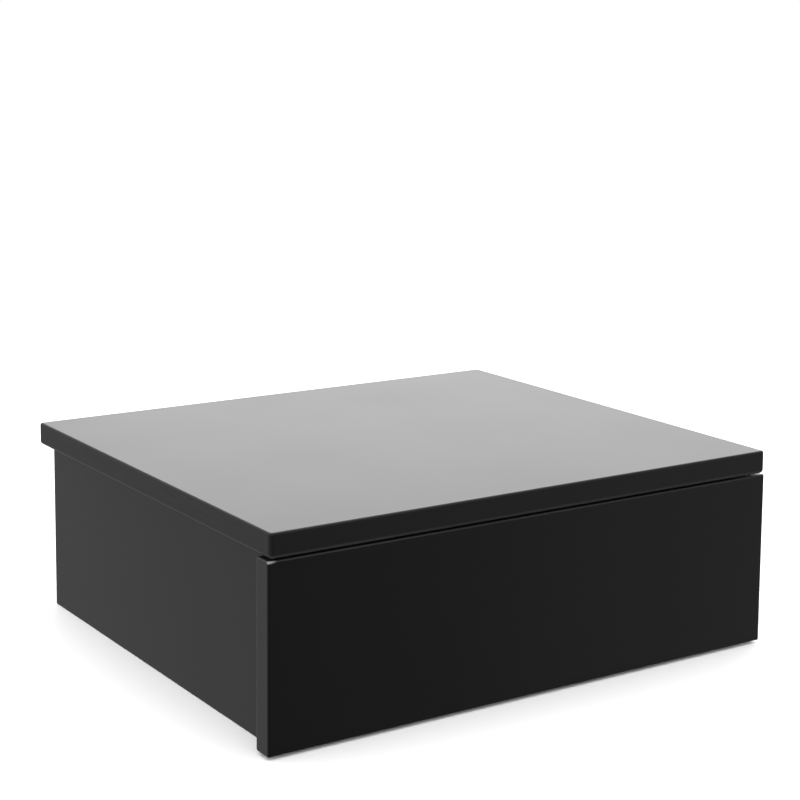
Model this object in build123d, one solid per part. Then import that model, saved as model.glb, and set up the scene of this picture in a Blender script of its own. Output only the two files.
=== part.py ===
from build123d import *
from math import sqrt
import os

# Wall-hung bedside drawer unit in lacquered board.
# A top, two sides, a back and a thin bottom make the carcass. One drawer with a full-width, handle-less
# front runs in it on a pair of roller runners, and the back panel is screwed to the wall.
#
# Frame: +X to the right seen from the front, +Y towards the wall, +Z up. The origin is the middle of the
# footprint, at the lower edge of the side panels. The drawer is modelled closed. Units are millimetres.

# ---------------------------------------------------------------- driving dimensions
WIDTH = 370.0  # drawer front, the widest piece
DEPTH = 320.0  # top panel, from its front edge to the wall
HEIGHT = 130.0  # lower edge of the sides to the upper face of the top
BOARD = 15.0  # lacquered MDF: top, sides, back and drawer front
DRAWER_BOARD = 12.0  # foil-faced board: drawer sides and drawer back
HARDBOARD = 3.0  # carcass bottom and drawer bottom
SHEET = 1.2  # steel of the runner rails

TOP_INSET = 1.0  # the top is this much narrower than the drawer front, each side
SIDE_INSET = 11.5  # drawer front's end to the outer face of a side panel
FRONT_SETBACK = 1.0  # drawer front behind the front edge of the top
FRONT_GAP_TOP = 1.0  # between the top panel and the drawer front
FRONT_LIFT = 2.0  # lower edge of the drawer front above the base
CLOSING_GAP = 1.5  # between the drawer front and the carcass, filled by the bumpers

TOP_EDGE_ROUND = 1.6  # upper edges of the top
UNDER_EDGE_ROUND = 2.6  # lower edges and upright corners of the top
FRONT_EDGE_ROUND = 1.1  # front edges of the drawer front
HAIR = 0.01  # a round run into an earlier one is this much smaller, so that they meet in a clean ball
GRIP_ROUND = 3.0  # back edges of the drawer front, where the fingers pull
SIDE_EDGE_ROUND = 0.8  # free edges of the side panels
BOX_EDGE_ROUND = 1.0  # long edges of the drawer box
PLATE_CORNER_ROUND = 4.0
FIT = 0.05  # radial clearance of a fastener in its hole

RUNNER_SPACE = 12.5  # between the carcass side and the drawer side
RUNNER_LENGTH = 250.0
RUNNER_BASE = 16.0  # underside of the cabinet rail above the base
TRAVEL = 190.0  # the drawer's run, to the stop tab
BOTTOM_LIFT = 8.0  # groove of the carcass bottom above the base
GROOVE = 3.2  # height of the grooves that hold the hardboard
GROOVE_DEPTH = 5.0  # in the carcass
DRAWER_GROOVE_DEPTH = 6.0
GROOVE_SPARE = 0.3  # left empty past the hardboard's edge
DRAWER_LENGTH = 260.0
DRAWER_SIDE_HEIGHT = 80.0
DRAWER_BOTTOM_LIFT = 8.8  # groove of the drawer bottom above the drawer sides' lower edge
DRAWER_DROP = 4.2  # lower edge of the drawer sides above the cabinet rail's underside

# ---------------------------------------------------------------- worked-out places
FRONT_Y = -DEPTH / 2
WALL_Y = DEPTH / 2
TOP_UNDERSIDE = HEIGHT - BOARD
TOP_HALF = WIDTH / 2 - TOP_INSET
SIDE_OUTER = WIDTH / 2 - SIDE_INSET
SIDE_INNER = SIDE_OUTER - BOARD
SIDE_MIDDLE = SIDE_OUTER - BOARD / 2
PANEL_FRONT = FRONT_Y + FRONT_SETBACK  # drawer front's outer face
PANEL_BACK = PANEL_FRONT + BOARD
PANEL_TOP = TOP_UNDERSIDE - FRONT_GAP_TOP
CARCASS_FRONT = PANEL_BACK + CLOSING_GAP
BACK_FACE = WALL_Y - BOARD  # back panel's inner face
BACK_MIDDLE = WALL_Y - BOARD / 2

BOX_OUTER = SIDE_INNER - RUNNER_SPACE  # outer face of a drawer side
BOX_INNER = BOX_OUTER - DRAWER_BOARD
BOX_MIDDLE = BOX_OUTER - DRAWER_BOARD / 2
BOX_REAR = PANEL_BACK + DRAWER_LENGTH

# Roller runner section. Each rail is described for the right-hand side and mirrored for the left.
ROLLER_GAP = 0.1  # between a roller and the flange that runs over or under it
DRAWER_ROLLER_R = 8.5
CABINET_ROLLER_R = 9.0
TRACK_TOP = RUNNER_BASE + SHEET
DRAWER_ROLLER_Z = TRACK_TOP + DRAWER_ROLLER_R + ROLLER_GAP
CHANNEL_HEIGHT = 18.0  # clear height inside the cabinet rail
CHANNEL_TOP = TRACK_TOP + CHANNEL_HEIGHT + SHEET
ROLLER_RISE = 0.6  # the cabinet roller stands this much above its channel
CABINET_ROLLER_Z = CHANNEL_TOP + ROLLER_RISE - CABINET_ROLLER_R
FLANGE_UNDERSIDE = CABINET_ROLLER_Z + CABINET_ROLLER_R + ROLLER_GAP
FLANGE_TOP = FLANGE_UNDERSIDE + SHEET
BOX_BASE = RUNNER_BASE + DRAWER_DROP
BOX_TOP = BOX_BASE + DRAWER_SIDE_HEIGHT
DRAWER_GROOVE = BOX_BASE + DRAWER_BOTTOM_LIFT  # underside of the drawer bottom's groove
DRAWER_FLOOR = DRAWER_GROOVE + GROOVE

CABINET_RAIL_SETBACK = 2.0  # behind the carcass's front
DRAWER_RAIL_SETBACK = 0.5  # behind the drawer front
CABINET_ROLLER_INSET = 12.0  # roller's axis from its rail's front end
DRAWER_ROLLER_INSET = 10.0  # roller's axis from its rail's rear end
CABINET_RAIL_FRONT = CARCASS_FRONT + CABINET_RAIL_SETBACK
DRAWER_RAIL_FRONT = PANEL_BACK + DRAWER_RAIL_SETBACK
CABINET_ROLLER_Y = CABINET_RAIL_FRONT + CABINET_ROLLER_INSET
DRAWER_ROLLER_Y = DRAWER_RAIL_FRONT + RUNNER_LENGTH - DRAWER_ROLLER_INSET
ROLLER_STAND_OFF = 3.6  # drawer side to the rollers' inner face
ROLLER_WIDTH = 5.9
ROLLER_IN = BOX_OUTER + ROLLER_STAND_OFF
ROLLER_OUT = ROLLER_IN + ROLLER_WIDTH
LIP_STAND_OFF, LIP_HEIGHT = 1.9, 3.7  # the cabinet rail's lower lip
CABINET_RAIL_BEND, DRAWER_RAIL_BEND = 1.5, 1.3  # outer radius of the sheet's bends
WINDOW_CLEAR = 3.5  # cut-away past the cabinet roller
WINDOW_DEPTH = 6.0
TAB_DROP = 5.0  # how far the stop tab hangs below the channel's top
TAB_CLEAR = 3.0  # between the tab and the rail's web
PIN_R = 2.0  # shank of a roller pin
PIN_COLLAR_R = 3.0
PIN_HEAD_R = 3.6
PIN_HEAD = 0.8
ROLLER_END_PLAY = 0.2
HUB_R = 4.2  # raised ring round a roller's bore
TREAD = 2.2  # thickness of a roller's rim
DISH = 1.0  # depth of the dish between them
TREAD_CHAMFER = 0.4

# Fasteners
CAM_R, CAM_DEPTH, CAM_REACH = 7.5, 12.0, 24.0  # housing radius, depth, distance to the joint
THIN_CAM_R, THIN_CAM_DEPTH = 6.0, 9.5  # the smaller cam of a 12 mm board
BOLT_THREAD_R, BOLT_THREAD = 2.5, 11.0
BOLT_SHANK_R, BOLT_NECK_R, BOLT_HEAD_R, BOLT_HEAD = 3.0, 1.9, 3.2, 3.0
BOLT_NECK, BOLT_SHOULDER = 4.0, 5.0  # ends of the neck and of the cone after it, from the head
BOLT_TIP, BOLT_TIP_R = 1.5, 1.0
BOLT_HEAD_WAIST = 0.7  # the head's end faces, as a share of its radius
BOLT_HOLE_R = 3.6
BOLT_ROOM = 0.4  # free space round a bolt's head in the cam
CAM_DRIVER = 1.2  # depth of the driver's cross in a cam
DOWEL_R, DOWEL_LENGTH, DOWEL_IN_FACE = 4.0, 30.0, 10.0
THIN_DOWEL_R = 3.0
DOWEL_NOSE = 1.0  # chamfer at both ends
DOWEL_SPARE = 1.0  # free depth of its holes past each end
SCREW_LIP = 0.3  # straight rim of a countersunk head
SCREW_TIP = 1.6  # length of a screw's point, in shank radii
SCREW_TIP_R = 0.4
SCREW_RECESS, SCREW_RECESS_SPAN = 0.9, 1.1  # cross recess: depth, and width in head radii
RECESS_ARM = 0.28  # width of a recess's arm as a share of its span
WALL_HOLE_R = 3.0
WALL_HOLE_X, WALL_HOLE_Z = 95.0, 88.0
PLATE_WIDTH, PLATE_HEIGHT, PLATE = 45.0, 20.0, 2.0
BUMPER_R, BUMPER_ROUND = 4.0, 0.8
BUMPER_PLAY = 0.1  # left between a bumper and the closed drawer front
BUMPER_Z = (16.0, 98.0)


# ---------------------------------------------------------------- small tools
def block(x0, x1, y0, y1, z0, z1):
    """A box between two corners."""
    return Pos((x0 + x1) / 2, (y0 + y1) / 2, (z0 + z1) / 2) * Box(x1 - x0, y1 - y0, z1 - z0)


def frame(place, out, along=None):
    """A local frame at place whose Z points along out, and whose X points along along."""
    return Plane(origin=place, z_dir=out, x_dir=along)


def turned(profile):
    """The solid turned about Z from a closed list of (radius, height) points."""
    return revolve(Plane.XZ * make_face(Polyline(*profile, close=True)), Axis.Z)


def rod(radius, low, high):
    """A cylinder about Z between two heights."""
    return Pos(0, 0, (low + high) / 2) * Cylinder(radius, high - low)


def mirrored(shape):
    """The same piece for the left-hand side."""
    return mirror(shape, about=Plane.YZ)


def both(shape):
    """A right-hand piece and its left-hand twin, as a list."""
    return [shape, mirrored(shape)]


def cut(piece, tools):
    """piece with every tool taken out of it."""
    for tool in tools:
        piece = piece - tool
    return piece


def rounded(piece, radius, chosen):
    """piece with the edges that chosen accepts rounded."""
    return fillet([edge for edge in piece.edges() if chosen(edge)], radius)


def save(name, solids):
    """One STEP file for one named piece, or for a group of like pieces."""
    solids = solids if isinstance(solids, list) else [solids]
    flat = [solid for shape in solids for solid in shape.solids()]
    export_step(flat[0] if len(flat) == 1 else Compound(children=flat), f"parts/{name}.step")


def edge_at(axis, value):
    """Accepts edges whose middle lies at value along axis (0, 1 or 2)."""
    return lambda edge: abs(tuple(edge.center())[axis] - value) < 1e-3


# ---------------------------------------------------------------- fasteners, built about the origin
# Each is built with Z as its own axis: z = 0 is the face it goes into, and it points down.
def csk_profile(shank_r, length, head_r, grow=0.0):
    """Outline of a countersunk screw; grow widens it into the hole that takes it."""
    tip = SCREW_TIP * shank_r
    shank = shank_r + grow
    head = head_r + grow
    return [
        (0, 0),
        (head, 0),
        (head, -SCREW_LIP),
        (shank, -SCREW_LIP - (head_r - shank_r)),
        (shank, -length + tip),
        (SCREW_TIP_R, -length - grow),
        (0, -length - grow),
    ]


def cross_recess(size, depth):
    """The cross-shaped driver recess of a screw head."""
    arm = RECESS_ARM * size
    cross = Box(size, arm, depth) + Box(arm, size, depth)
    return Pos(0, 0, -depth / 2) * cross


def csk_screw(shank_r, length, head_r):
    """A countersunk cross-head screw with a point."""
    recess = cross_recess(head_r * SCREW_RECESS_SPAN, SCREW_RECESS)
    return turned(csk_profile(shank_r, length, head_r)) - recess


def csk_hole(shank_r, length, head_r):
    """What a countersunk screw takes out of the piece it goes into."""
    return turned(csk_profile(shank_r, length, head_r, FIT))


def cam_lock(radius, depth, bolt_depth):
    """Cam housing flush with a face; the bolt's head enters from +X, bolt_depth below the face."""
    body = rod(radius - FIT, -depth, 0)
    room = BOLT_HEAD_R + BOLT_ROOM
    slot = block(-room, radius, -room, room, -bolt_depth - room, -bolt_depth + room)
    driver = cross_recess(radius, CAM_DRIVER)
    return body - slot - driver


def cam_hole(radius, depth):
    """The drilled seat of a cam housing."""
    return rod(radius, -depth - FIT, 1)


def cam_bolt(reach):
    """A cam bolt along Z: head in the cam at z = 0, joint at z = reach, thread beyond it."""
    waist = BOLT_HEAD_R * BOLT_HEAD_WAIST
    return turned(
        [
            (0, -BOLT_HEAD),
            (waist, -BOLT_HEAD),
            (BOLT_HEAD_R, -BOLT_HEAD / 2),
            (waist, 0),
            (BOLT_NECK_R, 0),
            (BOLT_NECK_R, BOLT_NECK),
            (BOLT_SHANK_R, BOLT_SHOULDER),
            (BOLT_SHANK_R, reach),
            (BOLT_THREAD_R, reach),
            (BOLT_THREAD_R, reach + BOLT_THREAD - BOLT_TIP),
            (BOLT_TIP_R, reach + BOLT_THREAD),
            (0, reach + BOLT_THREAD),
        ]
    )


def cam_bolt_way(reach):
    """What a cam bolt takes out of the two boards: a wide hole to the joint, a narrow one beyond."""
    return rod(BOLT_HOLE_R, 0, reach) + rod(BOLT_THREAD_R + FIT, reach - 0.01, reach + BOLT_THREAD + FIT)


def dowel(radius, length, in_face):
    """A wooden dowel along Z across a joint at z = 0, with chamfered ends."""
    low, high = in_face - length, in_face
    return turned(
        [
            (0, low),
            (radius - DOWEL_NOSE, low),
            (radius, low + DOWEL_NOSE),
            (radius, high - DOWEL_NOSE),
            (radius - DOWEL_NOSE, high),
            (0, high),
        ]
    )


def dowel_way(radius, length, in_face):
    """The two drilled holes of a dowel, each a little deeper than the dowel."""
    return rod(radius + FIT, in_face - length - DOWEL_SPARE, in_face + DOWEL_SPARE)


# ---------------------------------------------------------------- where the fasteners go (right-hand side)
CAM_Z = TOP_UNDERSIDE - CAM_REACH
TOP_CAM_Y = (-100.0, 100.0)
TOP_DOWEL_Y = (-125.0, 128.0)
BACK_CAM_Z = (32.0, 80.0)
BACK_DOWEL_Z = 56.0
BACK_TOP_DOWEL_X = (-60.0, 60.0)
DRAWER_CAM_Z = (46.0, 86.0)
DRAWER_DOWEL_Z = 66.0
BACK_SCREW_Z = (50.0, 86.0)
CABINET_SCREW_Y = (-104.0, -4.0, 92.0)
DRAWER_SCREW_Y = (-128.0, -20.0, 72.0)
BOTTOM_SCREW_X = (-90.0, 0.0, 90.0)
CABINET_SCREW_Z = RUNNER_BASE + 10.2
DRAWER_SCREW_Z = BOX_BASE + 4.4
RAIL_SCREW_R, RAIL_SCREW, RAIL_SCREW_HEAD_R = 1.75, 12.0, 3.1
DRAWER_SCREW = 10.0
PLATE_SCREW_R, PLATE_SCREW, PLATE_SCREW_HEAD_R = 1.5, 13.0, 2.8
BOTTOM_SCREW_R, BOTTOM_SCREW, BOTTOM_SCREW_HEAD_R = 1.5, 16.0, 2.9
BOX_SCREW_R, BOX_SCREW, BOX_SCREW_HEAD_R = 2.5, 40.0, 4.6

top_cams = [frame((SIDE_INNER, y, CAM_Z), (-1, 0, 0), (0, 0, 1)) for y in TOP_CAM_Y]
top_bolts = [frame((SIDE_MIDDLE, y, CAM_Z), (0, 0, 1)) for y in TOP_CAM_Y]
top_dowels = [frame((SIDE_MIDDLE, y, TOP_UNDERSIDE), (0, 0, 1)) for y in TOP_DOWEL_Y]
back_cams = [frame((SIDE_INNER - CAM_REACH, BACK_FACE, z), (0, -1, 0), (1, 0, 0)) for z in BACK_CAM_Z]
back_bolts = [frame((SIDE_INNER - CAM_REACH, BACK_MIDDLE, z), (1, 0, 0)) for z in BACK_CAM_Z]
back_dowel = frame((SIDE_INNER, BACK_MIDDLE, BACK_DOWEL_Z), (1, 0, 0))
back_top_dowels = [frame((x, BACK_MIDDLE, TOP_UNDERSIDE), (0, 0, 1)) for x in BACK_TOP_DOWEL_X]
drawer_cams = [frame((BOX_INNER, PANEL_BACK + CAM_REACH, z), (-1, 0, 0), (0, -1, 0)) for z in DRAWER_CAM_Z]
drawer_bolts = [frame((BOX_MIDDLE, PANEL_BACK + CAM_REACH, z), (0, -1, 0)) for z in DRAWER_CAM_Z]
drawer_dowel = frame((BOX_MIDDLE, PANEL_BACK, DRAWER_DOWEL_Z), (0, -1, 0))
box_screws = [frame((BOX_OUTER, BOX_REAR - DRAWER_BOARD / 2, z), (1, 0, 0)) for z in BACK_SCREW_Z]
cabinet_screws = [frame((SIDE_INNER - SHEET, y, CABINET_SCREW_Z), (-1, 0, 0)) for y in CABINET_SCREW_Y]
drawer_screws = [frame((BOX_OUTER + SHEET, y, DRAWER_SCREW_Z), (1, 0, 0)) for y in DRAWER_SCREW_Y]
bottom_screws = [
    frame((x, BOX_REAR - DRAWER_BOARD / 2, DRAWER_GROOVE + (GROOVE - HARDBOARD) / 2), (0, 0, -1))
    for x in BOTTOM_SCREW_X
]
plate_screws = [
    frame((WALL_HOLE_X + side * PLATE_WIDTH / 3, BACK_FACE - PLATE, WALL_HOLE_Z), (0, -1, 0))
    for side in (-1, 1)
]


def placed(frames, shape):
    """shape at each frame of the right-hand side, and mirrored at the left."""
    return [twin for place in frames for twin in both(place * shape)]


def placed_once(frames, shape):
    """shape at each frame, with no mirrored twin."""
    return [place * shape for place in frames]


# Everything that the fasteners take out of the boards and rails. cut() ignores what a tool doesn't reach.
top_ways = (
    placed(top_bolts, cam_bolt_way(CAM_REACH))
    + placed(top_dowels, dowel_way(DOWEL_R, DOWEL_LENGTH, DOWEL_IN_FACE))
    + placed_once(back_top_dowels, dowel_way(DOWEL_R, DOWEL_LENGTH, DOWEL_IN_FACE))
)
side_ways = (
    placed(top_cams, cam_hole(CAM_R, CAM_DEPTH))
    + placed(back_bolts, cam_bolt_way(CAM_REACH))
    + placed([back_dowel], dowel_way(DOWEL_R, DOWEL_LENGTH, DOWEL_IN_FACE))
    + placed(cabinet_screws, csk_hole(RAIL_SCREW_R, RAIL_SCREW, RAIL_SCREW_HEAD_R))
)
back_ways = placed(back_cams, cam_hole(CAM_R, CAM_DEPTH)) + placed(
    plate_screws, csk_hole(PLATE_SCREW_R, PLATE_SCREW, PLATE_SCREW_HEAD_R)
)
wall_ways = both(Pos(WALL_HOLE_X, WALL_Y, WALL_HOLE_Z) * Rot(90, 0, 0) * Cylinder(WALL_HOLE_R, 3 * BOARD))
front_ways = placed(drawer_bolts, cam_bolt_way(CAM_REACH)) + placed(
    [drawer_dowel], dowel_way(THIN_DOWEL_R, DOWEL_LENGTH, DOWEL_IN_FACE)
)
box_ways = (
    placed(drawer_cams, cam_hole(THIN_CAM_R, THIN_CAM_DEPTH))
    + placed(box_screws, csk_hole(BOX_SCREW_R, BOX_SCREW, BOX_SCREW_HEAD_R))
    + placed(drawer_screws, csk_hole(RAIL_SCREW_R, DRAWER_SCREW, RAIL_SCREW_HEAD_R))
)
bottom_ways = placed_once(bottom_screws, csk_hole(BOTTOM_SCREW_R, BOTTOM_SCREW, BOTTOM_SCREW_HEAD_R))


# ---------------------------------------------------------------- carcass
def make_top_panel():
    panel = block(-TOP_HALF, TOP_HALF, FRONT_Y, WALL_Y, TOP_UNDERSIDE, HEIGHT)
    panel = fillet(panel.edges().filter_by(Axis.Z), UNDER_EDGE_ROUND)
    panel = fillet(panel.faces().sort_by(Axis.Z)[0].edges(), UNDER_EDGE_ROUND - HAIR)
    panel = fillet(panel.faces().sort_by(Axis.Z)[-1].edges(), TOP_EDGE_ROUND)
    return cut(panel, top_ways)


def make_side_panel():
    """Right-hand side panel, with a groove for the carcass bottom that stops inside the back panel."""
    panel = block(SIDE_INNER, SIDE_OUTER, CARCASS_FRONT, WALL_Y, 0, TOP_UNDERSIDE)
    panel = rounded(panel, SIDE_EDGE_ROUND, lambda e: edge_at(2, 0)(e) or edge_at(1, CARCASS_FRONT)(e))
    end = SIDE_INNER + GROOVE_DEPTH
    stop = BACK_FACE + GROOVE_DEPTH
    groove = block(SIDE_INNER - 1, end, FRONT_Y, stop, BOTTOM_LIFT, BOTTOM_LIFT + GROOVE)
    return cut(panel, [groove] + top_ways + side_ways)


def make_back_panel():
    """Back panel between the sides, flush with their back edges, with the groove and the wall holes."""
    panel = block(-SIDE_INNER, SIDE_INNER, BACK_FACE, WALL_Y, 0, TOP_UNDERSIDE)
    panel = rounded(panel, SIDE_EDGE_ROUND, edge_at(2, 0))
    end = BACK_FACE + GROOVE_DEPTH
    groove = block(-WIDTH, WIDTH, BACK_FACE - 1, end, BOTTOM_LIFT, BOTTOM_LIFT + GROOVE)
    return cut(panel, [groove] + top_ways + side_ways + back_ways + wall_ways)


def make_bottom_panel():
    """Hardboard bottom held in the grooves of the sides and the back."""
    low = BOTTOM_LIFT + (GROOVE - HARDBOARD) / 2
    tuck = GROOVE_DEPTH - GROOVE_SPARE
    reach = SIDE_INNER + tuck
    return block(-reach, reach, CARCASS_FRONT, BACK_FACE + tuck, low, low + HARDBOARD)


def make_wall_plate(x):
    """Steel plate that spreads the pull of one wall screw."""
    plate = block(
        x - PLATE_WIDTH / 2,
        x + PLATE_WIDTH / 2,
        BACK_FACE - PLATE,
        BACK_FACE,
        WALL_HOLE_Z - PLATE_HEIGHT / 2,
        WALL_HOLE_Z + PLATE_HEIGHT / 2,
    )
    plate = fillet(plate.edges().filter_by(Axis.Y), PLATE_CORNER_ROUND)
    return cut(plate, wall_ways + back_ways)


def make_bumpers():
    """Four clear bumpers on the front edges of the sides, where the drawer front closes."""
    disc = rod(BUMPER_R, 0, CLOSING_GAP - BUMPER_PLAY)
    disc = fillet(disc.edges().group_by(Axis.Z)[-1], BUMPER_ROUND)
    seats = [frame((SIDE_MIDDLE, CARCASS_FRONT, z), (0, -1, 0)) for z in BUMPER_Z]
    return placed(seats, disc)


# ---------------------------------------------------------------- runners
def sheet_section(points, bend):
    """Closed section of bent sheet steel to one side of a line of corner points, in the XZ plane."""
    line = FilletPolyline(*points, radius=bend)
    return make_face(offset(line, amount=SHEET, side=Side.LEFT, closed=True).wires()[0])


def pin_way(x, y, z):
    """The hole for a roller pin through a rail whose sheet lies at x."""
    return Pos(x, y, z) * Rot(0, 90, 0) * Cylinder(PIN_R, 5 * SHEET)


def make_cabinet_rail():
    """Right-hand cabinet rail: a channel open towards the drawer, cut away above its front roller."""
    lip, web = BOX_OUTER + LIP_STAND_OFF, SIDE_INNER
    outline = [
        (lip, RUNNER_BASE + LIP_HEIGHT),
        (lip, RUNNER_BASE),
        (web, RUNNER_BASE),
        (web, CHANNEL_TOP),
        (ROLLER_IN, CHANNEL_TOP),
    ]
    section = Plane.XZ * sheet_section(outline, CABINET_RAIL_BEND)
    rail = Pos(0, CABINET_RAIL_FRONT, 0) * extrude(section, -RUNNER_LENGTH)
    web_face = SIDE_INNER - SHEET
    window_end = CABINET_ROLLER_Y + CABINET_ROLLER_R + WINDOW_CLEAR
    window_low = CHANNEL_TOP - WINDOW_DEPTH
    window = block(BOX_OUTER, web_face, FRONT_Y, window_end, window_low, CHANNEL_TOP + SHEET)
    # the stop tab stands where the drawer roller's rim reaches it at the end of the travel
    tab_low = CHANNEL_TOP - TAB_DROP
    nose = sqrt(DRAWER_ROLLER_R**2 - (tab_low - DRAWER_ROLLER_Z) ** 2)
    tab_y = DRAWER_ROLLER_Y - TRAVEL - nose - ROLLER_GAP
    tab = block(ROLLER_IN, SIDE_INNER - TAB_CLEAR, tab_y - SHEET, tab_y, tab_low, CHANNEL_TOP - SHEET / 2)
    pin_hole = pin_way(SIDE_INNER, CABINET_ROLLER_Y, CABINET_ROLLER_Z)
    return cut(rail - window + tab, side_ways + [pin_hole])


def make_drawer_rail():
    """Right-hand drawer rail: wraps the lower corner of the drawer side, with a flange over the rollers."""
    outline = [
        (ROLLER_OUT, FLANGE_TOP - SHEET),
        (BOX_OUTER + SHEET, FLANGE_TOP - SHEET),
        (BOX_OUTER + SHEET, BOX_BASE - SHEET),
        (BOX_INNER, BOX_BASE - SHEET),
    ]
    section = Plane.XZ * sheet_section(outline[::-1], DRAWER_RAIL_BEND)
    rail = Pos(0, DRAWER_RAIL_FRONT, 0) * extrude(section, -RUNNER_LENGTH)
    return cut(rail, box_ways + [pin_way(BOX_OUTER, DRAWER_ROLLER_Y, DRAWER_ROLLER_Z)])


def make_roller(radius, y, z):
    """Nylon roller between ROLLER_IN and ROLLER_OUT, dished on both faces, with a running bore."""
    half = ROLLER_WIDTH / 2
    bore, rim, floor = PIN_R + FIT, radius - TREAD, half - DISH
    edge_r, edge = radius - TREAD_CHAMFER, half - TREAD_CHAMFER
    front = [
        (bore, half),
        (HUB_R, half),
        (HUB_R, floor),
        (rim, floor),
        (rim, half),
        (edge_r, half),
        (radius, edge),
    ]
    body = turned(front + [(r, -x) for r, x in reversed(front)])
    return Pos((ROLLER_IN + ROLLER_OUT) / 2, y, z) * Rot(0, 90, 0) * body


def roller_pin(root, tip_side):
    """Pin along X riveted in a rail whose far face is at root: a collar up to the roller, a head past it."""
    reach_in = ROLLER_IN - ROLLER_END_PLAY
    reach_out = ROLLER_OUT + ROLLER_END_PLAY
    if tip_side > 0:
        collar, head = (root + SHEET, reach_in), (reach_out, reach_out + PIN_HEAD)
        shank = (root, reach_out + PIN_HEAD / 2)
    else:
        collar, head = (reach_out, root - SHEET), (reach_in - PIN_HEAD, reach_in)
        shank = (reach_in - PIN_HEAD / 2, root)
    pin = rod(PIN_R, *shank) + rod(PIN_COLLAR_R, *collar) + rod(PIN_HEAD_R, *head)
    return Rot(0, 90, 0) * pin


# ---------------------------------------------------------------- drawer
def make_drawer_front():
    """Handle-less front, soft-edged at the back where it overhangs the carcass."""
    half = WIDTH / 2
    panel = block(-half, half, PANEL_FRONT, PANEL_BACK, FRONT_LIFT, PANEL_TOP)
    panel = fillet(panel.edges().filter_by(Axis.Y), FRONT_EDGE_ROUND)
    panel = fillet(panel.faces().sort_by(Axis.Y)[0].edges(), FRONT_EDGE_ROUND - HAIR)
    panel = fillet(panel.faces().sort_by(Axis.Y)[-1].edges(), GRIP_ROUND)
    reach = BOX_INNER + DRAWER_GROOVE_DEPTH
    low_y = PANEL_BACK - DRAWER_GROOVE_DEPTH
    groove = block(-reach, reach, low_y, PANEL_BACK + 1, DRAWER_GROOVE, DRAWER_FLOOR)
    return cut(panel, [groove] + front_ways)


def make_drawer_side():
    """Right-hand drawer side with its groove."""
    side = block(BOX_INNER, BOX_OUTER, PANEL_BACK, BOX_REAR, BOX_BASE, BOX_TOP)
    side = fillet(side.edges().filter_by(Axis.Y), BOX_EDGE_ROUND)
    end = BOX_INNER + DRAWER_GROOVE_DEPTH
    groove = block(BOX_INNER - 1, end, FRONT_Y, WALL_Y, DRAWER_GROOVE, DRAWER_FLOOR)
    return cut(side, [groove] + front_ways + box_ways)


def make_drawer_back():
    back = block(-BOX_INNER, BOX_INNER, BOX_REAR - DRAWER_BOARD, BOX_REAR, DRAWER_FLOOR, BOX_TOP)
    back = fillet(back.edges().filter_by(Axis.X).group_by(Axis.Z)[-1], BOX_EDGE_ROUND)
    return cut(back, box_ways + bottom_ways)


def make_drawer_bottom():
    low = DRAWER_GROOVE + (GROOVE - HARDBOARD) / 2
    tuck = DRAWER_GROOVE_DEPTH - GROOVE_SPARE
    reach = BOX_INNER + tuck
    board = block(-reach, reach, PANEL_BACK - tuck, BOX_REAR, low, low + HARDBOARD)
    return cut(board, bottom_ways)


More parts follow.
